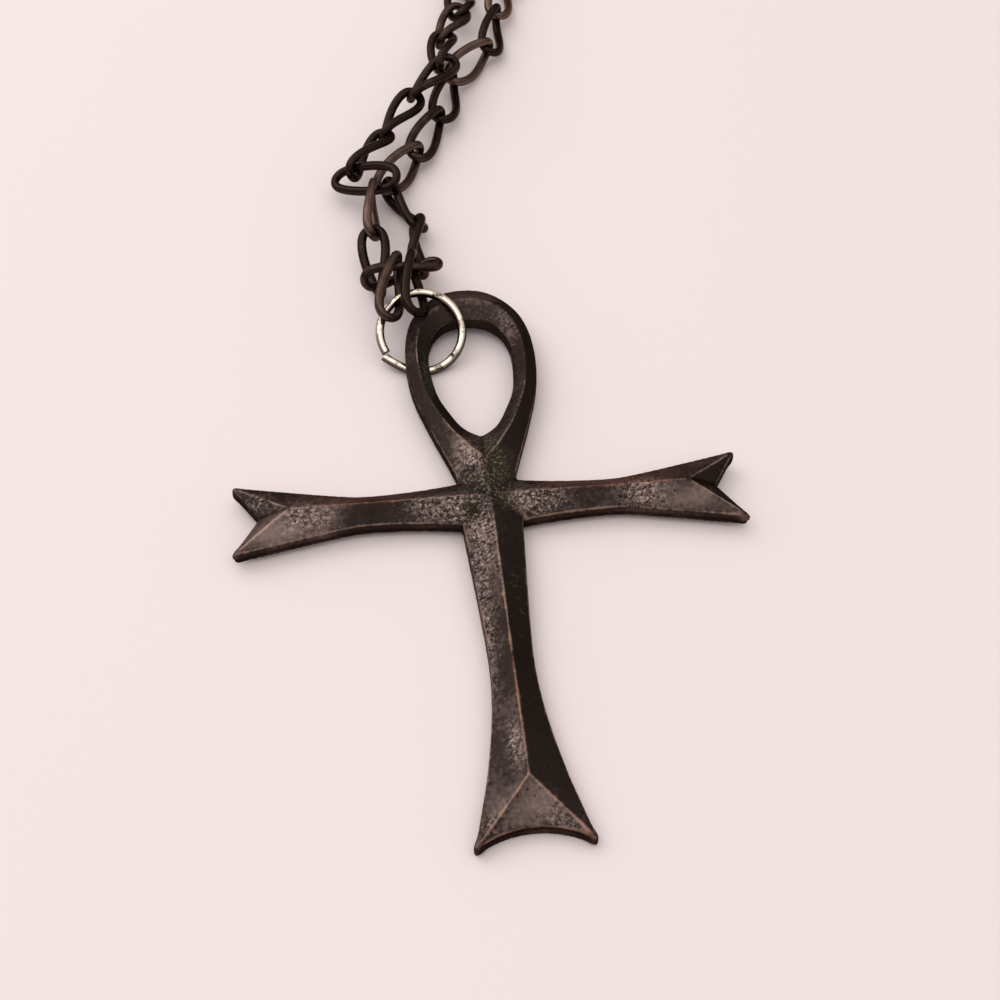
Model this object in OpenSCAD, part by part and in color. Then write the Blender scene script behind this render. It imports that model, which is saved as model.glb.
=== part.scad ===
/* [Ankh sections] */
// Height of the upright side walls
wall_h = 1.7; // [1.4:0.1:2]
// Height of the ridge on the arms and the stem
ridge_h = 3.3; // [2.8:0.1:3.6]
// Height of the ridge round the loop
loop_ridge_h = 2.8; // [2.4:0.1:2.8]
// Slope at which the back lifts toward the loop, which lies on the ring's wire
back_tilt = 1; // [1:0.05:1.1]

/* [Arms] */
// Reach of an arm from the middle of the crossing to its tips
arm_reach = 28.6; // [26:0.2:30]
// Place along an arm of its narrowest width
arm_waist_at = 14; // [12:0.5:16]
// Half width of an arm where it is narrowest
arm_waist = 2; // [1.6:0.1:2.4]
// Half width of an arm across its two tips
arm_tip = 4.7; // [4.2:0.1:5.2]
// Place along an arm where the ridge forks
arm_fork_at = 22.3; // [21:0.1:23]
// Place along an arm of the bottom of the notch
arm_notch_at = 25.6; // [25:0.1:26]

/* [Stem] */
// Reach of the stem from the middle of the crossing to its tips
stem_reach = 42.1; // [41:0.1:44]
// Place along the stem of its narrowest width
stem_waist_at = 21; // [19:0.5:23]
// Half width of the stem where it is narrowest
stem_waist = 2.35; // [2:0.05:2.8]
// Half width of the stem across its two tips
stem_tip = 6; // [5.2:0.1:6.4]
// Place along the stem where the ridge forks
stem_fork_at = 35.2; // [34:0.1:36]
// Depth of the hollow curve in the end of the stem
stem_hollow = 1.9; // [1:0.1:2.2]

/* [Jump ring] */
// Outside diameter of the jump ring
ring_od = 11; // [10.8:0.1:11.2]
// Diameter of the ring's wire
ring_wire = 0.75; // [0.65:0.05:0.75]
// Width of the cut in the ring, as an angle
ring_cut = 7; // [4:1:10]
// Lean of the ring over the loop
ring_lean = 28; // [27:0.5:29]

/* [Chain] */
// Outside length of a link
link_l = 11; // [10.9:0.05:11.1]
// Outside width of a link
link_w = 4.8; // [4.6:0.1:5]
// Diameter of the links' wire
link_wire = 1; // [0.9:0.05:1]
// Twist of a link from one end to the other
link_twist = 90; // [86:2:94]
// Length of chain from joint to joint in the stretch behind the neck
link_pitch = 8.1; // [8:0.05:8.2]

/* [Clasp] */
// Outside diameter of the ring catch
clasp_od = 9; // [8.6:0.2:9.4]
// Diameter of the catch's tube
clasp_tube = 1.7; // [1.5:0.1:1.7]
// Outside diameter of the eye on the catch
eye_od = 4.4; // [4.2:0.1:4.6]
// Diameter of the eye's wire
eye_wire = 0.9; // [0.8:0.1:1]

/* [Hidden] */
$fn = 48;
dark_cast = "#3a302b";
bright_wire = "#c9c2b4";
dark_chain = "#453a33";
dark_clasp = "#3f352f";

// Ankh in its own plane: the back on z = 0, x along the arms, y up to the loop
limb_steps = 12;
loop_steps = 4;
hollow_steps = 10;
stem_top = 4.2;
neck_half = 3.35;

// Stations down one side of the loop, from its top to the crossing
// outer x, outer y, inner x, inner y, share of the way from outer to inner at the ridge, ridge rise
loop_rows = [
    [0, 33.2, 0, 28.2, 0.5, 0],
    [2.5, 32.8, 1.5, 28, 0.5, 0],
    [4.8, 31.2, 2.9, 27.3, 0.5, 0],
    [6.6, 28.6, 4.1, 25.8, 0.5, 0],
    [7.5, 25.4, 4.8, 23.9, 0.5, 0],
    [7.75, 22, 5, 21.6, 0.5, 0],
    [7.6, 18.8, 4.8, 18.6, 0.5, 0],
    [7.1, 15.8, 4.3, 15.9, 0.5, 0],
    [6.3, 13, 3.3, 13.5, 0.5, 0.1],
    [5.5, 10.4, 2.2, 11.4, 0.5, 0.2],
    [4.7, 8, 1, 10.2, 0.5, 0.3],
    [3.9, 5.6, -1, 8.8, 0.47, 0.4],
    [3.4, 3.8, -2, 5.7, 0.63, 0.4],
    [3.3, 1, -2.4, 3, 0.58, 0.4]
];

// Half width of a limb at a distance past its waist, flaring to the tip or to the crossing
function flare(past, tip_past, gain, soft) =
    gain * pow(past / tip_past, 2) * (tip_past + soft) / (past + soft);
function arm_half(u) = let (past = u - arm_waist_at)
    past > 0
        ? arm_waist + flare(past, arm_reach - arm_waist_at, arm_tip - arm_waist, 1.5)
        : arm_waist + 0.0075 * past * past;
function stem_half(u) = let (past = u - stem_waist_at)
    past > 0
        ? stem_waist + flare(past, stem_reach - stem_waist_at, stem_tip - stem_waist, 40)
        : stem_waist + 0.07 * past * past / (4 - past);

// One gabled section across a limb: back, two walls and the ridge
function gable(u, half, top) = [
    [u, -half, 0], [u, half, 0], [u, half, wall_h], [u, 0, top], [u, -half, wall_h]
];

// Faces that join rings of n points, then cap both ends
function skin(rings, n) = concat(
    [[for (k = [0:n - 1]) k]],
    [for (i = [0:rings - 2]) for (k = [0:n - 1])
        [i * n + k, (i + 1) * n + k, (i + 1) * n + (k + 1) % n, i * n + (k + 1) % n]]
);

// Limb from a hidden start to the fork of its ridge, then two facets out to the end edge.
// edge lists the end's outline from one tip to the other, as [along, across].
module limb(sections, edge) {
    rings = len(sections);
    base = rings * 5;
    fork = (rings - 1) * 5;
    last = len(edge) - 1;
    points = concat(
        [for (s = sections) for (p = s) p],
        [for (e = edge) [e[0], e[1], 0]],
        [for (e = edge) [e[0], e[1], wall_h]]
    );
    low = base;
    high = base + last + 1;
    faces = concat(
        skin(rings, 5),
        [concat([fork + 1, fork], [for (k = [0:last]) low + k])],
        [[fork, fork + 4, high, low]],
        [[fork + 2, fork + 1, low + last, high + last]],
        [[fork + 4, fork + 3, high]],
        [[fork + 3, fork + 2, high + last]],
        [for (k = [0:last - 1]) [fork + 3, high + k + 1, high + k]],
        [for (k = [0:last - 1]) [low + k, high + k, high + k + 1, low + k + 1]]
    );
    polyhedron(points = points, faces = faces, convexity = 6);
}

module arm() {
    sections = [for (i = [0:limb_steps]) let (u = arm_fork_at * i / limb_steps)
        gable(u, arm_half(u), ridge_h)];
    limb(sections, [[arm_reach, -arm_tip], [arm_notch_at, 0], [arm_reach, arm_tip]]);
}

module stem() {
    // The hollow end is an arc through both tips
    arc_r = (stem_tip * stem_tip + stem_hollow * stem_hollow) / (2 * stem_hollow);
    sweep = asin(stem_tip / arc_r);
    edge = [for (i = [0:hollow_steps]) let (a = sweep * (2 * i / hollow_steps - 1))
        [stem_reach - stem_hollow + arc_r * (1 - cos(a)), arc_r * sin(a)]];
    run = stem_fork_at + stem_top;
    sections = concat(
        [gable(-stem_top - 1.2, 1, wall_h + 0.5)],
        [for (i = [0:2 * limb_steps]) let (u = run * i / (2 * limb_steps) - stem_top)
            gable(u, u < 0 ? neck_half : stem_half(u), ridge_h)]
    );
    limb(sections, edge);
}

// Point between two rows of the loop, on a smooth curve through the rows on either side
function between(before, from, to, after, s) =
    0.5 * (2 * from + (to - before) * s + (2 * before - 5 * from + 4 * to - after) * s * s
        + (3 * from - before - 3 * to + after) * s * s * s);
// Signs that carry a row over to the other side of the loop
other_side = [-1, 1, -1, 1, 1, 1];
function loop_row(k) =
    k < 0 ? [for (c = [0:5]) loop_rows[-k][c] * other_side[c]]
    : k >= len(loop_rows) ? 2 * loop_rows[len(loop_rows) - 1] - loop_rows[len(loop_rows) - 2]
    : loop_rows[k];
function loop_section(row) = let (
        outer = [row[0], row[1]],
        inner = [row[2], row[3]],
        crest = outer + (inner - outer) * row[4]
    ) [
        [inner.x, inner.y, 0], [outer.x, outer.y, 0], [outer.x, outer.y, wall_h],
        [crest.x, crest.y, loop_ridge_h + row[5]], [inner.x, inner.y, wall_h]
    ];

module half_loop() {
    last = len(loop_rows) - 1;
    sections = concat(
        [for (k = [0:last - 1]) for (i = [0:loop_steps - 1]) let (s = i / loop_steps)
            loop_section(between(loop_row(k - 1), loop_row(k), loop_row(k + 1), loop_row(k + 2), s))],
        [loop_section(loop_row(last))]
    );
    rings = len(sections);
    end_cap = [[for (k = [4:-1:0]) (rings - 1) * 5 + k]];
    polyhedron(
        points = [for (s = sections) for (p = s) p],
        faces = concat(skin(rings, 5), end_cap),
        convexity = 6
    );
}

// The stem's tips touch the ground and the loop is raised
ankh_lift = stem_reach * sin(back_tilt);

module ankh() {
    color(dark_cast)
        translate([0, 0, ankh_lift])
            rotate([back_tilt, 0, 0])
                union() {
                    arm();
                    mirror([1, 0, 0]) arm();
                    rotate([0, 0, -90]) stem();
                    half_loop();
                    mirror([1, 0, 0]) half_loop();
                }
}

// Ring: its lowest point is on the ground under the left limb of the loop
ring_r = (ring_od - ring_wire) / 2;
ring_at = [-5.5, 26.7];
ring_cut_at = 210;
ring_z = ring_wire / 2 + ring_r * sin(ring_lean);

module jump_ring() {
    color(bright_wire)
        translate([ring_at.x, ring_at.y, ring_z])
            rotate([ring_lean, 0, 0])
                rotate([0, 0, ring_cut_at + ring_cut / 2])
                    rotate_extrude(angle = 360 - ring_cut)
                        translate([ring_r, 0]) circle(d = ring_wire);
}

// Link: an oval of round wire, twisted along its length
link_sides = 14;
wire_sides = 6;
// Six flats whose corners stand just outside the round wire
wire_r = 0.53 * link_wire;
oval_a = link_l / 2 - link_wire / 2;
oval_b = link_w / 2 - link_wire / 2;
function fullness(s) = sign(s) * pow(abs(s), 0.65);
function turned(v, a) = [v[0], v[1] * cos(a) - v[2] * sin(a), v[1] * sin(a) + v[2] * cos(a)];
function unit(v) = v / norm(v);
// Lean of the wire's plane at a place along a link, from its lower end's to its upper end's
function lean_at(along, leans) = leans[0] + (leans[1] - leans[0]) * (along / oval_a + 1) / 2;
function oval(u, leans) = let (along = oval_a * cos(u))
    turned([along, oval_b * fullness(sin(u)), 0], lean_at(along, leans));
function wire_ring(u, leans) = let (
        middle = oval(u, leans),
        ahead = unit(oval(u + 8, leans) - oval(u - 8, leans)),
        up = turned([0, 0, 1], lean_at(middle[0], leans)),
        side = unit(cross(ahead, up)),
        top = cross(side, ahead)
    ) [for (k = [0:wire_sides - 1]) let (a = 360 * (k + 0.5) / wire_sides)
        middle + wire_r * (cos(a) * side + sin(a) * top)];
link_faces = [for (i = [0:link_sides - 1]) for (k = [0:wire_sides - 1]) let (
        j = (i + 1) % link_sides,
        m = (k + 1) % wire_sides
    ) [i * wire_sides + k, i * wire_sides + m, j * wire_sides + m, j * wire_sides + k]];

// Link from its middle, the way its upper end points and how steeply that end rises
module link(row) {
    translate([row[0], row[1], row[2]])
        rotate([0, 0, row[3]])
            rotate([0, -row[4], 0])
                polyhedron(
                    points = [for (i = [0:link_sides - 1])
                        for (p = wire_ring(360 * i / link_sides, [row[5], row[6]])) p],
                    faces = link_faces,
                    convexity = 4
                );
}

// Links of the two strands where they show, from the ring upward:
// x, y, z, heading, rise, lean of the lower end, lean of the upper end
left_links = [
    [-8.5, 32.4, 5.1, 78, 4, 30, 95],
    [-7.1, 36.3, 3.85, 14, 0, 70, 165],
    [-10.1, 39.2, 3.15, 94, 13, -90, -10],
    [-10, 47.7, 4.15, 86, -2, -120, -75],
    [-10.45, 53.55, 4.35, 150, -22, -35, -15],
    [-9.75, 59.2, 3.85, 57, -1, -115, 0],
    [-5.1, 66.5, 4, 58, 4, -85, 30],
    [-0.1, 73.4, 4.6, 49, 3, -70, 20],
    [1.8, 79.85, 4.5, 82, -10, -90, 10],
    [3.8, 87.1, 3.3, 67, -4, -80, 30],
    [5.8, 94.3, 2.6, 82, -6, -55, 85]
];
right_links = [
    [-5.9, 32.3, 5.55, 88, 1, 33, 95],
    [-4.7, 41.65, 2.9, 86, 2, 40, 125],
    [-5.95, 49.9, 2.45, 114, 0, 35, 110],
    [-5.65, 57.2, 2.5, 54, 0, 0, 100],
    [-1.5, 63.9, 2.55, 63, 0, 20, 95],
    [1.8, 71.8, 2.4, 74, 0, 0, 90],
    [5.65, 79.2, 2.55, 48, 0, 10, 105],
    [9.8, 86.4, 2.4, 77, 0, 20, 100],
    [11.8, 94.8, 2.4, 76, 0, 10, 88]
];

// Stretch behind the neck: links turned by a steady angle, as [number of links, turn of each].
// The right half mirrors the left.
rest_z = 2.1;
left_start = [6.6, 98];
right_start = [13, 98];
hidden_run = [[5, 9], [6, 0], [18, -7.5]];
function turns(run, way) = [for (r = run) for (i = [1:r[0]]) r[1] * way];
function walk(p, heading, turn, i = 0) =
    i >= len(turn) ? []
    : let (
        h = heading + turn[i],
        step = link_pitch * [cos(h), sin(h)],
        middle = p + step / 2
    ) concat(
        [[middle.x, middle.y, rest_z, h, 0, 0, link_twist]],
        walk(p + step, h, turn, i + 1)
    );
left_hidden = walk(left_start, 90, turns(hidden_run, 1));
right_hidden = walk(right_start, 90, turns(hidden_run, -1));

module chain_left() {
    color(dark_chain) for (row = concat(left_links, left_hidden)) link(row);
}

module chain_right() {
    color(dark_chain) for (row = concat(right_links, right_hidden)) link(row);
}

// Clasp: its eye runs through the last left link and its catch through the last right link
clasp_play = 0.16;
eye_r = (eye_od - eye_wire) / 2;
catch_r = (clasp_od - clasp_tube) / 2;
last_left = left_hidden[len(left_hidden) - 1];
eye_x = last_left.x + oval_a - wire_r - eye_wire / 2 - clasp_play + eye_r;
catch_x = eye_x + eye_r + catch_r + 0.3;

module hoop(radius, wire) {
    rotate_extrude() translate([radius, 0]) circle(d = wire);
}

module clasp() {
    color(dark_clasp) {
        translate([catch_x, last_left.y, rest_z]) hoop(catch_r, clasp_tube);
        translate([eye_x, last_left.y, rest_z]) hoop(eye_r, eye_wire);
    }
}

ankh();
jump_ring();
chain_left();
chain_right();
clasp();
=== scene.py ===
"""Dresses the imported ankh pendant: a patinated casting on a bright wire ring and a dark curb chain."""

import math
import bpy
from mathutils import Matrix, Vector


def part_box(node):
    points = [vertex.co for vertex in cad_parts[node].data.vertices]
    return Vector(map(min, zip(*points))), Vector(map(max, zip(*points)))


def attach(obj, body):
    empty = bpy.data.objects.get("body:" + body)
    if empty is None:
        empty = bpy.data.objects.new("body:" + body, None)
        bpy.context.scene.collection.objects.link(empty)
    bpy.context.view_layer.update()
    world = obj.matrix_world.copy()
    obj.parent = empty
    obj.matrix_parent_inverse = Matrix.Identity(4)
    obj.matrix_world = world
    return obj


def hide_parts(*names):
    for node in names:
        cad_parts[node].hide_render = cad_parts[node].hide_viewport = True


bl_info = {
    "name": "Ankh Pendant",
    "version": (1, 0, 0),
    "blender": (4, 5, 0),
    "location": "View3D > Sidebar > Pendant",
    "description": "Builds an ankh pendant's casting, jump ring, chain and clasp around its frame",
    "category": "Add Mesh",
}

import bmesh
import bpy
import numpy as np
from mathutils import Matrix, Quaternion, Vector
from mathutils.kdtree import KDTree

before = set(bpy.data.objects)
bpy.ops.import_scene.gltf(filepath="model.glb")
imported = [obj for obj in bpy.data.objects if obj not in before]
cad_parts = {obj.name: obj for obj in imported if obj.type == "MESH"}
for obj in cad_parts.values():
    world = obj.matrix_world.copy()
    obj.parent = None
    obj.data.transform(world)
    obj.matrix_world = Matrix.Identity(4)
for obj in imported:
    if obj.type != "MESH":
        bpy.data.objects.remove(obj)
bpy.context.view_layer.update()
MM = 0.001

# Settings of a Mix node for colours, its input sockets and its output socket
COLOURS = {"data_type": "RGBA"}
SHARE, UNDER, OVER = 0, 6, 7
MIXED = 2


def linear(hex_colour):
    """Colour for a shader socket from an sRGB hex value."""
    channels = [int(hex_colour[i:i + 2], 16) / 255 for i in (1, 3, 5)]
    return [c / 12.92 if c <= 0.04045 else ((c + 0.055) / 1.055) ** 2.4 for c in channels] + [1.0]


def add(tree, kind, settings=(), sockets=()):
    """Adds one node. Settings are its options; sockets, by name or number, are values or links."""
    made = tree.nodes.new("ShaderNode" + kind)
    for name, value in dict(settings).items():
        setattr(made, name, value)
    for name, value in dict(sockets).items():
        if isinstance(value, bpy.types.NodeSocket):
            tree.links.new(value, made.inputs[name])
        else:
            made.inputs[name].default_value = value
    return made


def per_mm(size):
    """Texture scale whose features are about this many millimetres across."""
    return 1 / (size * MM)


class PendantCasting(bpy.types.PropertyGroup):
    grain: bpy.props.FloatProperty(
        name="Grain", description="Distance between points of the casting's skin, in mm",
        default=0.168, min=0.15, max=0.3)
    softening: bpy.props.IntProperty(
        name="Softening", description="Rounds of smoothing that wear down the ridges",
        default=4, min=1, max=20)
    tip_wear: bpy.props.IntProperty(
        name="Tip wear", description="Further rounds of smoothing at the pointed ends",
        default=25, min=1, max=100)
    tip_swell: bpy.props.FloatProperty(
        name="Tip swell", description="Breadth given to the pointed ends before they are smoothed, in mm",
        default=0.25, min=0, max=1)
    pit_depth: bpy.props.FloatProperty(
        name="Pit depth", description="Depth of the casting pits in the roughest places, in mm",
        default=0.2, min=0, max=0.4)
    # Also the colour that the painted shade on the walls and the right-hand faces darkens towards
    dark: bpy.props.StringProperty(
        name="Dark patina", description="Colour of the thickest patina", default="#2b2420")
    plain: bpy.props.StringProperty(
        name="Plain patina", description="Colour of the patina on the smooth faces", default="#352b28")
    # Also the colour that the painted light on faces turned away and on the tips lightens towards
    worn: bpy.props.StringProperty(
        name="Rubbed patina", description="Colour where the patina is rubbed thin", default="#967f7a")
    copper: bpy.props.StringProperty(
        name="Bare edges", description="Colour of the metal that shows along the ridges",
        default="#8c5039")
    verdigris: bpy.props.StringProperty(
        name="Verdigris", description="Colour of the crust's specks at the crossing", default="#85805c")


class PendantWire(bpy.types.PropertyGroup):
    outside: bpy.props.FloatProperty(
        name="Ring diameter", description="Outside diameter of the jump ring, in mm",
        default=11, min=9, max=13)
    wire: bpy.props.FloatProperty(
        name="Ring wire", description="Diameter of the jump ring's wire, in mm",
        default=1.05, min=0.5, max=1.2)
    cut: bpy.props.FloatProperty(
        name="Cut", description="Width of the cut in the ring, in degrees",
        default=3, min=1, max=12)
    offset: bpy.props.FloatProperty(
        name="Sprung end", description="How far one end stands outside the other, in mm",
        default=0.45, min=0, max=0.8)
    bright: bpy.props.StringProperty(
        name="Ring colour", description="Colour of the ring's wire", default="#f0e2d2")


class PendantChain(bpy.types.PropertyGroup):
    fatten: bpy.props.FloatProperty(
        name="Fatten", description="Thickness given back to the rounded link wire, in mm",
        default=0.15, min=0, max=0.15)
    plate: bpy.props.StringProperty(
        name="Plating", description="Colour of the links' dark plating", default="#2b211d")
    rubbed: bpy.props.StringProperty(
        name="Rubbed plating", description="Colour of the plating where it is rubbed", default="#745d54")


class PendantStage(bpy.types.PropertyGroup):
    floor: bpy.props.StringProperty(
        name="Floor colour", description="Colour of the plain floor", default="#f4e7e7")
    key: bpy.props.FloatProperty(
        name="Key light", description="Power that the two lamps are scaled by",
        default=1, min=0, unit="POWER")
    fill: bpy.props.FloatProperty(
        name="Sky", description="Strength of the light from straight above",
        default=1.12, min=0)


def only(piece):
    """Makes one object the selected and active one."""
    bpy.ops.object.select_all(action="DESELECT")
    piece.hide_set(False)
    piece.select_set(True)
    bpy.context.view_layer.objects.active = piece


def primitive(add_shape, **settings):
    """Adds a primitive with nothing else selected."""
    bpy.ops.object.select_all(action="DESELECT")
    add_shape(**settings)
    return bpy.context.object


def welded_copy(node, name):
    """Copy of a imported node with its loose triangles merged."""
    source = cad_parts[node]
    piece = bpy.data.objects.new(name, source.data.copy())
    bpy.context.scene.collection.objects.link(piece)
    piece.data.name = name
    piece.data.materials.clear()
    only(piece)
    bpy.ops.object.mode_set(mode="EDIT")
    bpy.ops.mesh.select_all(action="SELECT")
    bpy.ops.mesh.remove_doubles(threshold=0.002 * MM)
    bpy.ops.object.mode_set(mode="OBJECT")
    return piece


def modify(piece, kind, **settings):
    """Adds a modifier and applies it."""
    only(piece)
    made = piece.modifiers.new(kind.title(), kind)
    for name, value in settings.items():
        setattr(made, name, value)
    bpy.ops.object.modifier_apply(modifier=made.name)


def soften_corners(piece, width):
    """Rounds the sharp edges over a width in mm."""
    modify(piece, "BEVEL", width=width * MM, segments=2, limit_method="ANGLE",
           angle_limit=math.radians(50))


def column(items, name, width, kind=np.float32):
    """One property of a mesh's points or edges, a row to each."""
    flat = np.empty(len(items) * width, kind)
    items.foreach_get(name, flat)
    return flat.reshape(-1, width)


def points_of(piece):
    return column(piece.data.vertices, "co", 3).astype(float)


def normals_of(piece):
    return column(piece.data.vertex_normals, "vector", 3).astype(float)


def move_points(piece, points):
    piece.data.vertices.foreach_set("co", points.astype(np.float32).ravel())
    piece.data.update()


def folds_of(piece, least, step):
    """Points a step in mm apart along the folds of a mesh: those that stand out, and those that sink in."""
    mesh = bmesh.new()
    mesh.from_mesh(piece.data)
    raised, sunk = [], []
    for edge in mesh.edges:
        if len(edge.link_faces) == 2 and abs(edge.calc_face_angle_signed()) > least:
            start, end = edge.verts[0].co, edge.verts[1].co
            count = math.ceil((end - start).length / (step * MM))
            side = raised if edge.calc_face_angle_signed() > 0 else sunk
            side.extend(start.lerp(end, i / count) for i in range(count + 1))
    mesh.free()
    return raised, sunk


def links_of(piece):
    """Number of the link that each point belongs to, found by spreading its lowest point number."""
    edges = column(piece.data.edges, "vertices", 2, np.int32)
    lowest = np.arange(len(piece.data.vertices))
    settled = False
    while not settled:
        before = lowest.copy()
        np.minimum.at(lowest, edges[:, 0], lowest[edges[:, 1]])
        np.minimum.at(lowest, edges[:, 1], lowest[edges[:, 0]])
        settled = np.array_equal(before, lowest)
    return np.unique(lowest, return_inverse=True)[1]


def nearness(points, line, reach):
    """1 on a line, falling away within a reach in mm."""
    tree = KDTree(len(line))
    for i, place in enumerate(line):
        tree.insert(place, i)
    tree.balance()
    apart = np.array([tree.find(point)[2] for point in points]) / MM
    return np.exp(-(apart / reach) ** 2)


def blobs(x, y, places):
    """Sum of soft spots, each at x and y with its half width, half height and strength, in mm."""
    return sum(strength * np.exp(-((x - at_x) / wide) ** 2 - ((y - at_y) / tall) ** 2)
               for at_x, at_y, wide, tall, strength in places)


def weigh(piece, name, weights):
    """Stores one weight per point for the modifiers."""
    group = piece.vertex_groups.new(name=name)
    for i, weight in enumerate(weights.tolist()):
        group.add((i,), weight, "REPLACE")


def mark(piece, name, values):
    """Stores one number per point for the materials."""
    attribute = piece.data.attributes.new(name, "FLOAT", "POINT")
    attribute.data.foreach_set("value", np.asarray(values, np.float32))


def finish_piece(piece, slot, material, *nodes):
    """Gives a piece its material, and states which body it rides and which nodes it replaces."""
    piece.data.materials.clear()
    piece.data.materials.append(material)
    only(piece)
    bpy.ops.object.shade_smooth()
    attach(piece, "root")
    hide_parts(*nodes)


def surface(name):
    """New material: its tree and its shader."""
    material = bpy.data.materials.new(name)
    material.use_nodes = True
    tree = material.node_tree
    return material, tree, tree.nodes["Principled BSDF"]


# Colours that no setting holds
PAINTED_GLINTS = "#d8c4b8"
TAN_EDGE_SHEEN = "#948074"
CRUST = "#2a281f"
GRIME_AND_SHADE = "#130d0a"
CAST_SHEEN = "#9a8578"
WIRE_TARNISH_AND_SHADE = "#3f3028"
PLATE_SHEEN = "#b8a498"
SKY = "#fffaf6"


def patinated_cast_brass(look):
    """Sand-cast brass under a dark antique patina: rubbed, crinkled in places, showing the metal along the
    ridges, with painted highlights, glints and shade.
    """
    material, tree, shader = surface("patinated_cast_brass")
    place = add(tree, "TexCoord").outputs["Object"]
    fold, hollow, crust, wear_and_painted_light, rough, coppery = (
        add(tree, "Attribute", {"attribute_name": name}).outputs["Fac"]
        for name in ("fold", "hollow", "crust", "wear_and_painted_light", "rough", "coppery"))
    # Cloudy patches of thicker and thinner patina, about 4 mm across
    patches = add(tree, "TexNoise", {}, {
        "Vector": place, "Scale": per_mm(4), "Detail": 3, "Roughness": 0.55})
    # Casting grain of about half a millimetre
    grain = add(tree, "TexNoise", {}, {
        "Vector": place, "Scale": per_mm(0.5), "Detail": 5, "Roughness": 0.65})
    # Crinkles between lumps of about a millimetre, bent by the casting grain
    bend = add(tree, "VectorMath", {"operation": "SCALE"}, {0: grain.outputs["Color"], "Scale": 1.6 * MM})
    bent = add(tree, "VectorMath", {"operation": "ADD"}, {0: place, 1: bend.outputs[0]})
    crackle = add(tree, "TexVoronoi", {"feature": "DISTANCE_TO_EDGE"}, {
        "Vector": bent.outputs[0], "Scale": per_mm(0.9)})
    crinkle = add(tree, "MapRange", {}, {
        "Value": crackle.outputs["Distance"], "From Min": 0.02, "From Max": 0.1})
    # The cast skin is left rough in places and was filed smooth elsewhere
    filled = add(tree, "Math", {"operation": "SUBTRACT"}, {0: crinkle.outputs[0], 1: 1})
    parted = add(tree, "Math", {"operation": "MULTIPLY"}, {0: filled.outputs[0], 1: rough})
    sanded = add(tree, "Math", {"operation": "MULTIPLY_ADD"}, {0: rough, 1: 3.2, 2: 0.7})
    centred = add(tree, "Math", {"operation": "SUBTRACT"}, {0: grain.outputs["Fac"], 1: 0.5})
    speckled = add(tree, "Math", {"operation": "MULTIPLY"}, {0: centred.outputs[0], 1: sanded.outputs[0]})
    # Small round pits, one to each 1.3 mm
    dots = add(tree, "TexVoronoi", {}, {"Vector": place, "Scale": per_mm(1.3), "Randomness": 1})
    pits = add(tree, "MapRange", {}, {
        "Value": dots.outputs["Distance"], "From Min": 0.1, "From Max": 0.16})

    # Thin patina where rubbed, thick in the pits and the crinkles; painted light and shade on the faces and
    # tips lighten and darken it as well
    cloudy = add(tree, "Math", {"operation": "MULTIPLY_ADD"}, {
        0: patches.outputs["Fac"], 1: 0.8, 2: wear_and_painted_light})
    grainy = add(tree, "Math", {"operation": "ADD"}, {0: cloudy.outputs[0], 1: speckled.outputs[0]})
    creased = add(tree, "Math", {"operation": "ADD"}, {0: parted.outputs[0], 1: grainy.outputs[0]})
    tone = add(tree, "Math", {"operation": "MULTIPLY_ADD"}, {
        0: pits.outputs[0], 1: 0.4, 2: creased.outputs[0]})
    covered = add(tree, "MapRange", {}, {"Value": tone.outputs[0], "From Min": -0.1, "From Max": 0.6})
    rubbed = add(tree, "MapRange", {}, {"Value": tone.outputs[0], "From Min": 0.6, "From Max": 1.8})
    smooth = add(tree, "Mix", COLOURS, {
        SHARE: covered.outputs[0], UNDER: linear(look.dark), OVER: linear(look.plain)})
    patina = add(tree, "Mix", COLOURS, {
        SHARE: rubbed.outputs[0], UNDER: smooth.outputs[MIXED], OVER: linear(look.worn)})
    # Painted glints: specks of a third of a millimetre on the rough skin, lightened as though their tops
    # caught the light
    fine = add(tree, "TexNoise", {}, {
        "Vector": place, "Scale": per_mm(0.35), "Detail": 3, "Roughness": 0.7})
    peaks = add(tree, "MapRange", {}, {"Value": fine.outputs["Fac"], "From Min": 0.52, "From Max": 0.7})
    glints = add(tree, "Math", {"operation": "MULTIPLY"}, {0: peaks.outputs[0], 1: rough})
    lit = add(tree, "Mix", COLOURS, {
        SHARE: glints.outputs[0], UNDER: patina.outputs[MIXED], OVER: linear(PAINTED_GLINTS)})

    # Bare metal and a painted highlight along the edges, broken up by the grain: tan, and coppery in places
    broken = add(tree, "Math", {"operation": "MULTIPLY_ADD"}, {
        0: patches.outputs["Fac"], 1: 1.5, 2: fold})
    edge = add(tree, "Math", {"operation": "MULTIPLY_ADD"}, {
        0: grain.outputs["Fac"], 1: 1.1, 2: broken.outputs[0]})
    bare_and_sheen = add(tree, "MapRange", {}, {"Value": edge.outputs[0], "From Min": 1.6, "From Max": 2.25})
    metal = add(tree, "Mix", COLOURS, {
        SHARE: coppery, UNDER: linear(TAN_EDGE_SHEEN), OVER: linear(look.copper)})
    edged = add(tree, "Mix", COLOURS, {
        SHARE: bare_and_sheen.outputs[0], UNDER: lit.outputs[MIXED], OVER: metal.outputs[MIXED]})

    # Dark green crust at the crossing, with paler specks
    stained = add(tree, "Mix", COLOURS, {
        SHARE: crust, UNDER: edged.outputs[MIXED], OVER: linear(CRUST)})
    scattered = add(tree, "MapRange", {}, {
        "Value": fine.outputs["Fac"], "From Min": 0.54, "From Max": 0.64})
    specks = add(tree, "Math", {"operation": "MULTIPLY"}, {0: scattered.outputs[0], 1: crust})
    greened = add(tree, "Mix", COLOURS, {
        SHARE: specks.outputs[0], UNDER: stained.outputs[MIXED], OVER: linear(look.verdigris)})
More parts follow.
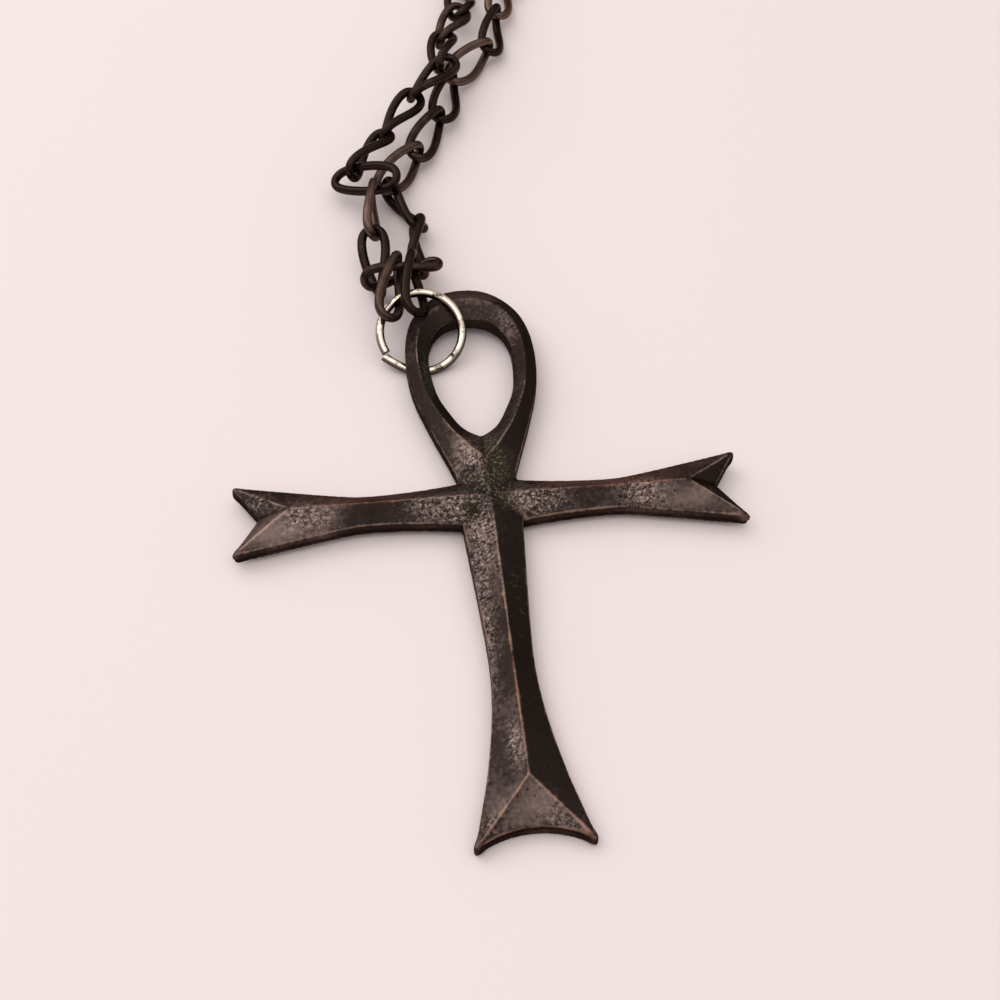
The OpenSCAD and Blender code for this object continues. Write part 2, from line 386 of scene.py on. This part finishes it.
    # Grime stays in the creases, and painted shade darkens the walls under their upper edge
    grimed_and_shaded = add(tree, "Mix", COLOURS, {
        SHARE: hollow, UNDER: greened.outputs[MIXED], OVER: linear(GRIME_AND_SHADE)})
    tree.links.new(grimed_and_shaded.outputs[MIXED], shader.inputs["Base Color"])
    dulled = add(tree, "MapRange", {}, {"Value": crust, "To Min": 0.9, "To Max": 0.1})
    tree.links.new(dulled.outputs[0], shader.inputs["Metallic"])
    shader.inputs["Specular Tint"].default_value = linear(CAST_SHEEN)
    gloss = add(tree, "MapRange", {}, {
        "Value": tone.outputs[0], "From Max": 1.5, "To Min": 0.5, "To Max": 0.36})
    tree.links.new(gloss.outputs[0], shader.inputs["Roughness"])
    # Relief: the grain and the crinkles, deepest where the skin is rough, and the pits
    relief = add(tree, "Math", {"operation": "MULTIPLY_ADD"}, {
        0: parted.outputs[0], 1: 0.5, 2: speckled.outputs[0]})
    dented = add(tree, "Math", {"operation": "MULTIPLY_ADD"}, {
        0: pits.outputs[0], 1: 0.6, 2: relief.outputs[0]})
    bump = add(tree, "Bump", {}, {"Height": dented.outputs[0], "Strength": 0.8, "Distance": 0.06 * MM})
    tree.links.new(bump.outputs[0], shader.inputs["Normal"])
    return material


def bright_drawn_wire(look):
    """Nickel-plated drawn steel wire: bright and warm, with fine marks from the pliers."""
    material, tree, shader = surface("bright_drawn_wire")
    place = add(tree, "TexCoord").outputs["Object"]
    marks = add(tree, "TexNoise", {}, {
        "Vector": place, "Scale": per_mm(1.5), "Detail": 3, "Roughness": 0.6})
    dull = add(tree, "MapRange", {}, {"Value": marks.outputs["Fac"], "From Min": 0.48, "From Max": 0.68})
    # Painted shade darkens the sides of the wire, standing in for the dark reflections at its edges, and
    # the marks add tarnish; its top is left bright
    side = add(tree, "Attribute", {"attribute_name": "side"}).outputs["Fac"]
    tarnish_and_shade = add(tree, "Math", {"operation": "MAXIMUM"}, {0: dull.outputs[0], 1: side})
    tint = add(tree, "Mix", COLOURS, {
        SHARE: tarnish_and_shade.outputs[0], UNDER: linear(look.bright), OVER: linear(WIRE_TARNISH_AND_SHADE)})
    tree.links.new(tint.outputs[MIXED], shader.inputs["Base Color"])
    shader.inputs["Metallic"].default_value = 1.0
    gloss = add(tree, "MapRange", {}, {
        "Value": marks.outputs["Fac"], "From Min": 0.35, "From Max": 0.7, "To Min": 0.08, "To Max": 0.2})
    tree.links.new(gloss.outputs[0], shader.inputs["Roughness"])
    bump = add(tree, "Bump", {}, {"Height": marks.outputs["Fac"], "Strength": 0.1, "Distance": 0.02 * MM})
    tree.links.new(bump.outputs[0], shader.inputs["Normal"])
    return material


def dark_plated_wire(look):
    """Steel wire with a dark bronze plating: smooth and half glossy, browner where it rubs, and lighter on
    a few links as a painted highlight.
    """
    material, tree, shader = surface("dark_plated_wire")
    place = add(tree, "TexCoord").outputs["Object"]
    tone = add(tree, "Attribute", {"attribute_name": "tone"}).outputs["Fac"]
    cloud = add(tree, "TexNoise", {}, {
        "Vector": place, "Scale": per_mm(2.2), "Detail": 4, "Roughness": 0.6})
    # Drawing marks are finer than the render shows, so they are drawn 0.3 mm across
    fine = add(tree, "TexNoise", {}, {
        "Vector": place, "Scale": per_mm(0.3), "Detail": 3, "Roughness": 0.6})
    mixed = add(tree, "Math", {"operation": "MULTIPLY_ADD"}, {0: cloud.outputs["Fac"], 1: 0.8, 2: tone})
    rub_and_sheen = add(tree, "MapRange", {}, {"Value": mixed.outputs[0], "From Min": 0.55, "From Max": 1.3})
    tint = add(tree, "Mix", COLOURS, {
        SHARE: rub_and_sheen.outputs[0], UNDER: linear(look.plate), OVER: linear(look.rubbed)})
    tree.links.new(tint.outputs[MIXED], shader.inputs["Base Color"])
    shader.inputs["Metallic"].default_value = 0.8
    shader.inputs["Specular Tint"].default_value = linear(PLATE_SHEEN)
    gloss = add(tree, "MapRange", {}, {
        "Value": fine.outputs["Fac"], "From Min": 0.3, "From Max": 0.7, "To Min": 0.16, "To Max": 0.3})
    tree.links.new(gloss.outputs[0], shader.inputs["Roughness"])
    bump = add(tree, "Bump", {}, {"Height": fine.outputs["Fac"], "Strength": 0.2, "Distance": 0.02 * MM})
    tree.links.new(bump.outputs[0], shader.inputs["Normal"])
    return material


# Where the patina is rubbed thin: x, y, half width and half height in mm, and strength. Where the
# strength is below 0, the patina is thicker
RUBBED_PLACES = (
    (-1.6, -6, 1.6, 5.5, 0.75), (-2.4, -17, 0.8, 7, 0.6), (-5.5, -0.8, 3.4, 1.5, 0.65),
    (-19.5, -1, 3.2, 2, 0.8), (-24.5, -2.5, 3, 2, 0.6), (-25.5, 2, 1.6, 1.2, 0.45),
    (5, -0.8, 3, 1.4, 0.7), (17, -0.8, 2.4, 1.6, 0.85), (22.5, -2, 3.5, 1.5, 0.55),
    (-1.8, 6.5, 1.5, 2.6, 0.7), (-0.8, -31.5, 0.7, 2.6, 0.6), (0, -38.5, 4, 2.4, 0.5),
    (4.8, 26, 1.2, 3, 0.3), (2, 31, 3, 1.2, 0.5), (0, 0.8, 2, 1.3, -0.5), (-12, -1, 3.5, 2, -0.3),
    (-5.5, 17, 2, 6, -0.25), (-3.4, 29.8, 2, 1.5, 0.5), (-2.1, -1.6, 0.8, 0.8, -1.2))
# Where the cast skin is rough, the same way
ROUGH_PLACES = (
    (-1.6, -5, 1.8, 5, 1), (-2.4, -16, 0.9, 7, 0.9), (-5.5, -1, 3, 1.6, 1),
    (-20.5, -0.8, 2.5, 1.8, 0.9), (-25.5, 2, 1.6, 1.2, 0.6), (5, -0.8, 3.2, 1.6, 1),
    (17, -0.8, 2.2, 1.8, 1), (-1.5, 6.5, 1.4, 2.4, 0.8), (-0.8, -31.5, 0.8, 2.2, 0.7),
    (0.5, 3.5, 2.5, 3, 1), (3, -40, 2.5, 1.5, 0.35), (-4, -40, 1.5, 1.5, 0.35), (4.8, 26, 1.2, 3, 0.3))
# Green crust, the same way
CRUSTED_PLACES = (
    (1.6, 4.4, 1.2, 2, 1), (0.2, 8.4, 1.1, 1.8, 0.7), (-1.4, 3, 1.6, 0.9, 0.6),
    (-2.1, -1.5, 0.8, 0.8, 0.8), (1.4, -0.8, 0.8, 1, 0.6), (-5.4, 19, 0.6, 4, 0.5),
    (3.4, 1.6, 0.8, 0.6, 0.5), (0.2, 1.3, 1.3, 1, 0.6))
# Edges that shine through coppery, the same way
COPPERY_PLACES = (
    (-14, 0.5, 6, 1.5, 1), (-0.2, -24, 1.5, 9, 0.6), (14, 0.5, 8, 1.5, 1), (0, -40, 8, 4, 0.4),
    (4.5, 27, 2, 3, 0.6))
# The crossing's middle, where the crust hides the folds, the same way
HIDDEN_FOLDS = ((0, 1.5, 3, 3.5, 0.8),)
# Points of the arms and the stem, and the half width, half height and strength of the wear on each
TIPS = ((-28.6, 4.7), (-28.6, -4.7), (28.6, 4.7), (28.6, -4.7), (-6, -42.1), (6, -42.1))
TIP_SPOT = (1, 1, 1.5)

# Least angle between two faces whose edge is a fold, and distance in mm between the points along it
FOLD_ANGLE, FOLD_STEP = math.radians(16), 0.1
# Half widths of the line of bare metal and painted highlight on a ridge and of the grime in a crease, in mm
BARE_AND_SHEEN_REACH, GRIME_REACH = 0.16, 0.3
# Height and half width of the line of painted shade on the walls, under their upper edge, in mm
WALL_LINE, WALL_LINE_REACH = 1.3, 0.22
# Share of the colour of grime and painted shade where they lie thickest
GRIME_AND_SHADE_MOST = 0.8
# The loop's ridge has less of the line of bare metal and painted highlight than those of the limbs: how
# much less, from which y, and how gradually
LOOP_KEPT, LOOP_START, LOOP_FADE = 0.35, 8, 4
# Share of the line of bare metal and painted highlight that the patina covers at the tips
TIP_KEPT = 0.5
# How sharply a wall is told from a face, a face turned aside from a level one, and level skin from steep
WALL_SHARPNESS, TURN_SHARPNESS, LEVEL_SHARPNESS = 1.6, 1.8, 2
# How far the patina is rubbed everywhere, how much painted shade darkens faces turned right and the walls,
# how much painted light lightens faces turned away, and how far the tips are rubbed and given a painted
# highlight. Below 0 it is darker there
RUBBED_ALL, PAINTED_SHADE_RIGHT, PAINTED_LIGHT_AWAY, PAINTED_SHADE_WALL, RUBBED_AND_HIGHLIGHTED_TIP = -0.2, -0.5, 0.3, -0.12, 0.25
# Least share of the crust that sticks to the walls, and the most that it covers anywhere
WALL_CRUST, MOST_CRUST = 0.3, 0.9
# Grain in mm of the pits cut into the mesh, and their depth on smooth skin as a share of the rough skin's
PIT_GRAIN, SMOOTH_PITS = 0.6, 0.15


class PENDANT_OT_casting(bpy.types.Operator):
    """Casts the ankh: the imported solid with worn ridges, rounded tips and casting pits"""
    bl_idname = "pendant.casting"
    bl_label = "Ankh casting"

    def execute(self, context):
        look = context.scene.pendant_casting
        piece = welded_copy("ankh", "ankh_casting")
        raised, sunk = folds_of(piece, FOLD_ANGLE, FOLD_STEP)
        modify(piece, "REMESH", mode="VOXEL", voxel_size=look.grain * MM)
        modify(piece, "SMOOTH", factor=0.5, iterations=look.softening)

        # The ends are broadened before they are rounded, which keeps their reach
        points, normals = points_of(piece), normals_of(piece)
        x, y = (points[:, :2] / MM).T
        ends = np.clip(blobs(x, y, [tip + TIP_SPOT for tip in TIPS]), 0, 1)
        points[:, :2] += normals[:, :2] * ends[:, None] * look.tip_swell * MM
        move_points(piece, points)
        weigh(piece, "ends", ends)
        modify(piece, "SMOOTH", factor=0.5, iterations=look.tip_wear, vertex_group="ends")

        # Which way each point faces
        points, normals = points_of(piece), normals_of(piece)
        x, y, z = (points / MM).T
        right, away, up = np.clip(normals, 0, 1).T
        wall = 1 - np.clip(up * WALL_SHARPNESS, 0, 1)
        turned_right = np.clip(right * TURN_SHARPNESS, 0, 1)
        turned_away = np.clip(away * TURN_SHARPNESS, 0, 1)
        level = np.clip(up * LEVEL_SHARPNESS, 0, 1)

        # Bare metal and a painted highlight along the ridges, grime in the creases, and painted shade under
        # the upper edge of the walls
        bared = 1 - blobs(x, y, HIDDEN_FOLDS)
        kept = LOOP_KEPT * np.clip((y - LOOP_START) / LOOP_FADE, 0, 1)
        mark(piece, "fold", nearness(points, raised, BARE_AND_SHEEN_REACH) * (1 - TIP_KEPT * ends) * bared - kept)
        creases = GRIME_AND_SHADE_MOST * nearness(points, sunk, GRIME_REACH) * bared
        # Painted shade: a dark line on the walls just under their upper edge
        line = GRIME_AND_SHADE_MOST * wall * np.exp(-((z - WALL_LINE) / WALL_LINE_REACH) ** 2)
        mark(piece, "hollow", np.maximum(creases, line))

        # Painted shade makes the walls and the right-hand faces darker and blacker, and painted light makes
        # the faces turned away lighter
        rough = np.clip(blobs(x, y, ROUGH_PLACES) * level, 0, 1) * (1 - turned_right)
        mark(piece, "rough", rough)
        mark(piece, "wear_and_painted_light", blobs(x, y, RUBBED_PLACES) + RUBBED_ALL + PAINTED_SHADE_RIGHT * turned_right
             + PAINTED_LIGHT_AWAY * turned_away + PAINTED_SHADE_WALL * wall + RUBBED_AND_HIGHLIGHTED_TIP * ends)
        mark(piece, "coppery", np.clip(blobs(x, y, COPPERY_PLACES) + ends, 0, 1))
        stuck = np.maximum(level, WALL_CRUST)
        mark(piece, "crust", np.clip(blobs(x, y, CRUSTED_PLACES) * stuck, 0, MOST_CRUST))

        # Pits, deepest in the rough places
        piece.vertex_groups.clear()
        weigh(piece, "pitted", np.clip(SMOOTH_PITS + rough, 0, 1))
        pits = bpy.data.textures.new("casting_pits", "CLOUDS")
        pits.noise_scale = PIT_GRAIN * MM
        pits.noise_depth = 2
        modify(piece, "DISPLACE", texture=pits, texture_coords="LOCAL", vertex_group="pitted",
               strength=look.pit_depth * MM, mid_level=0.6)
        bpy.data.textures.remove(pits)
        piece.vertex_groups.clear()
        finish_piece(piece, "dark_cast", patinated_cast_brass(look), "ankh")
        return {"FINISHED"}


# Sides of the wire, and steps along it
WIRE_SIDES, WIRE_STEPS = 20, 144
# Where the cut faces, and how much of the wire is bent to spring its end, in degrees
CUT_FACES, SPRUNG_OVER = 210, 30


class PENDANT_OT_ring(bpy.types.Operator):
    """Winds the jump ring from round wire, with one cut end sprung outward"""
    bl_idname = "pendant.ring"
    bl_label = "Jump ring"

    def execute(self, context):
        look = context.scene.pendant_wire
        low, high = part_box("jump_ring")
        radius = (look.outside - look.wire) / 2 * MM
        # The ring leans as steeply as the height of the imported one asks
        lean = math.asin((high.z - low.z - look.wire * MM) / (2 * radius))
        centre = (low + high) / 2
        piece = primitive(bpy.ops.mesh.primitive_circle_add, vertices=WIRE_SIDES, fill_type="NGON",
                          radius=look.wire / 2 * MM, location=(radius, 0, 0),
                          rotation=(math.pi / 2, 0, 0))
        piece.name = piece.data.name = "jump_ring_wire"
        bpy.ops.object.transform_apply(location=True, rotation=True, scale=True)
        bpy.ops.object.mode_set(mode="EDIT")
        bpy.ops.mesh.select_all(action="SELECT")
        bpy.ops.mesh.spin(steps=WIRE_STEPS, angle=math.radians(360 - look.cut), center=(0, 0, 0),
                          axis=(0, 0, 1))
        bpy.ops.mesh.select_all(action="SELECT")
        bpy.ops.mesh.normals_make_consistent(inside=False)
        bpy.ops.object.mode_set(mode="OBJECT")

        # The cut lies between the wire's two end faces, the only ones with more than four corners
        points = points_of(piece)
        ends = [face.center for face in piece.data.polygons if len(face.vertices) > 4]
        cut_at = math.atan2(sum(end.y for end in ends), sum(end.x for end in ends))
        turn = np.degrees(np.arctan2(points[:, 1], points[:, 0]) - cut_at) % 360
        sprung = np.clip(1 - (turn - look.cut / 2) / SPRUNG_OVER, 0, 1)
        grown = 1 + sprung ** 2 * look.offset * MM / radius
        points[:, :2] *= grown[:, None]
        move_points(piece, points)
        spun = Matrix.Rotation(math.radians(CUT_FACES) - cut_at, 4, "Z")
        piece.data.transform(Matrix.Translation(centre) @ Matrix.Rotation(lean, 4, "X") @ spun)
        soften_corners(piece, 0.08)
        # Share of the painted shade on the sides: 0 where the wire faces up, and 1 where it faces 75
        # degrees or more away from that
        mark(piece, "side", np.clip(1.4 - 1.6 * normals_of(piece)[:, 2], 0, 1))
        finish_piece(piece, "bright_wire", bright_drawn_wire(look), "jump_ring")
        return {"FINISHED"}


# Links made lighter, partly as rubbed plating and partly as a painted highlight: x and y of the middle, how
# much, and how far off it may be, in mm
LIGHT_LINKS = (
    (-10.1, 47.6, 0.8), (-5.6, 57.2, 0.3), (5.6, 79.2, 0.3), (11.8, 94.8, 0.3), (-8.5, 32.4, 0.3))
LINK_REACH = 1.5
# Tones of the links: the step from each to the next, the darkest, and the range
TONE_STEP, TONE_LEAST, TONE_RANGE = 0.618, -0.2, 0.6


class PENDANT_OT_chain(bpy.types.Operator):
    """Rounds the wire of both strands of the curb chain"""
    bl_idname = "pendant.chain"
    bl_label = "Curb chain"

    def execute(self, context):
        look = context.scene.pendant_chain
        material = dark_plated_wire(look)
        for node in ("chain_left", "chain_right"):
            piece = welded_copy(node, node + "_links")
            bpy.ops.object.mode_set(mode="EDIT")
            bpy.ops.mesh.select_all(action="SELECT")
            bpy.ops.mesh.tris_convert_to_quads(face_threshold=math.pi, shape_threshold=math.pi)
            bpy.ops.object.mode_set(mode="OBJECT")

            # Each link gets one tone of its own
            links = links_of(piece)
            middles = np.stack([np.bincount(links, axis) for axis in points_of(piece).T[:2]], 1)
            middles /= np.bincount(links)[:, None] * MM
            tones = (np.arange(len(middles)) * TONE_STEP) % 1 * TONE_RANGE + TONE_LEAST
            for at_x, at_y, more in LIGHT_LINKS:
                tones[np.hypot(middles[:, 0] - at_x, middles[:, 1] - at_y) < LINK_REACH] += more
            mark(piece, "tone", tones[links])

            modify(piece, "SUBSURF", levels=2, render_levels=2)
            move_points(piece, points_of(piece) + normals_of(piece) * look.fatten * MM)
            finish_piece(piece, "dark_chain", material, node)
        return {"FINISHED"}


# Radii of the eye and of its wire, in mm
EYE_RADIUS, EYE_WIRE = 2.2, 0.45
# Places on the catch, in degrees round it: the ends of the spring's slot, and the thumb lever
COLLARS, LEVER = (60, 120), 78
# Length of a collar and radius of the lever, in mm
COLLAR_LENGTH, LEVER_RADIUS = 0.6, 0.5
# Tone of the catch's plating, which is one all over
CATCH_TONE = 0.1


class PENDANT_OT_clasp(bpy.types.Operator):
    """Makes the ring catch with its collars and thumb lever, and the eye that holds it"""
    bl_idname = "pendant.clasp"
    bl_label = "Ring catch"

    def execute(self, context):
        look = context.scene.pendant_chain
        low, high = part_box("clasp")
        tube = (high.z - low.z) / 2
        catch = (high.y - low.y) / 2 - tube
        middle = Vector((high.x - tube - catch, (low.y + high.y) / 2, (low.z + high.z) / 2))

        def on_catch(angle):
            return middle + Matrix.Rotation(math.radians(angle), 3, "Z") @ Vector((catch, 0, 0))

        parts = [
            primitive(bpy.ops.mesh.primitive_torus_add, location=middle, major_segments=96,
                      minor_segments=24, major_radius=catch, minor_radius=tube),
            primitive(bpy.ops.mesh.primitive_torus_add, major_segments=48, minor_segments=16,
                      location=(low.x + EYE_RADIUS * MM, middle.y, middle.z),
                      major_radius=(EYE_RADIUS - EYE_WIRE) * MM, minor_radius=EYE_WIRE * MM)]
        # Collars at both ends of the spring's slot
        parts += [primitive(bpy.ops.mesh.primitive_cylinder_add, vertices=32, radius=tube * 1.1,
                            depth=COLLAR_LENGTH * MM, location=on_catch(angle),
                            rotation=(math.pi / 2, 0, math.radians(angle))) for angle in COLLARS]
        # Thumb lever that slides the bolt back
        parts.append(primitive(bpy.ops.mesh.primitive_uv_sphere_add, segments=20, ring_count=12,
                               radius=LEVER_RADIUS * MM, location=on_catch(LEVER) + Vector((0, 0, tube))))
        bpy.ops.object.select_all(action="DESELECT")
        for part in parts:
            part.select_set(True)
        context.view_layer.objects.active = parts[0]
        bpy.ops.object.join()
        piece = context.object
        piece.name = piece.data.name = "ring_catch"
        bpy.ops.object.transform_apply(location=True, rotation=True, scale=True)
        soften_corners(piece, 0.1)
        mark(piece, "tone", np.full(len(piece.data.vertices), CATCH_TONE))
        finish_piece(piece, "dark_clasp", dark_plated_wire(look), "clasp")
        return {"FINISHED"}


# Window to the left and a broad lamp overhead: name, place and size in m, and share of the key light
LIGHTS = (
    ("window", (-0.5, 0.4, 0.5), 0.8, 2.2),
    ("overhead", (-0.15, -0.2, 0.8), 0.5, 0.7))
LIGHT_AIM = Vector((0, 0.01, 0))
# Place of the camera and the point it looks at, in mm, its roll in degrees and its lens in mm
CAMERA_PLACE = Vector((-15.1, -118.2, 149.9)) * MM
CAMERA_AIM = Vector((1.3, 1.4, 0.8)) * MM
CAMERA_ROLL, CAMERA_LENS = 1.8, 61.2


class PENDANT_OT_stage(bpy.types.Operator):
    """Lays the plain floor and sets the lights and the camera"""
    bl_idname = "pendant.stage"
    bl_label = "Floor, light and camera"

    def execute(self, context):
        look = context.scene.pendant_stage
        # Matt paper-white board, a hair under the pendant
        floor = primitive(bpy.ops.mesh.primitive_plane_add, size=6, location=(0, 0.1, -0.02 * MM))
        floor.name = floor.data.name = "floor"
        material, _, shader = surface("matt_board")
        shader.inputs["Base Color"].default_value = linear(look.floor)
        shader.inputs["Roughness"].default_value = 0.9
        floor.data.materials.append(material)

        # Sky that is bright above and dark towards the horizon
        world = bpy.data.worlds.new("overcast_sky")
        context.scene.world = world
        world.use_nodes = True
        tree = world.node_tree
        sky = tree.nodes["Background"]
        sky.inputs["Color"].default_value = linear(SKY)
        height = add(tree, "SeparateXYZ", {}, {0: add(tree, "TexCoord").outputs["Generated"]})
        share = add(tree, "MapRange", {}, {
            "Value": height.outputs["Z"], "To Min": 0.05, "To Max": look.fill})
        tree.links.new(share.outputs[0], sky.inputs["Strength"])

        for name, place, size, share_of_key in LIGHTS:
            light = primitive(bpy.ops.object.light_add, type="AREA", location=place)
            light.name = name
            light.data.size = size
            light.data.energy = look.key * share_of_key
            light.rotation_euler = (LIGHT_AIM - Vector(place)).to_track_quat("-Z", "Y").to_euler()

        camera = primitive(bpy.ops.object.camera_add, location=CAMERA_PLACE)
        camera.name = "camera"
        aimed = (CAMERA_AIM - CAMERA_PLACE).to_track_quat("-Z", "Y")
        rolled = Quaternion((0, 0, 1), math.radians(CAMERA_ROLL))
        camera.rotation_euler = (aimed @ rolled).to_euler()
        camera.data.lens = CAMERA_LENS
        camera.data.clip_start = 0.01
        context.scene.camera = camera
        context.scene.view_settings.view_transform = "Standard"
        return {"FINISHED"}


class PENDANT_PT_panel(bpy.types.Panel):
    """Lists the pieces of the pendant"""
    bl_label = "Ankh pendant"
    bl_idname = "PENDANT_PT_panel"
    bl_space_type = "VIEW_3D"
    bl_region_type = "UI"
    bl_category = "Pendant"

    def draw(self, context):
        for name, group in GROUPS.items():
            box = self.layout.box()
            for setting in group.__annotations__:
                box.prop(getattr(context.scene, name), setting)
        for operator in OPERATORS:
            self.layout.operator(operator.bl_idname)


GROUPS = {
    "pendant_casting": PendantCasting,
    "pendant_wire": PendantWire,
    "pendant_chain": PendantChain,
    "pendant_stage": PendantStage,
}
OPERATORS = (PENDANT_OT_stage, PENDANT_OT_casting, PENDANT_OT_ring, PENDANT_OT_chain, PENDANT_OT_clasp)


def register():
    for name, group in GROUPS.items():
        bpy.utils.register_class(group)
        setattr(bpy.types.Scene, name, bpy.props.PointerProperty(type=group))
    for operator in OPERATORS:
        bpy.utils.register_class(operator)
    bpy.utils.register_class(PENDANT_PT_panel)


def unregister():
    bpy.utils.unregister_class(PENDANT_PT_panel)
    for operator in reversed(OPERATORS):
        bpy.utils.unregister_class(operator)
    for name, group in GROUPS.items():
        delattr(bpy.types.Scene, name)
        bpy.utils.unregister_class(group)


def main():
    register()
    bpy.ops.pendant.stage()
    bpy.ops.pendant.casting()
    bpy.ops.pendant.ring()
    bpy.ops.pendant.chain()
    bpy.ops.pendant.clasp()


if __name__ == "__main__":
    main()
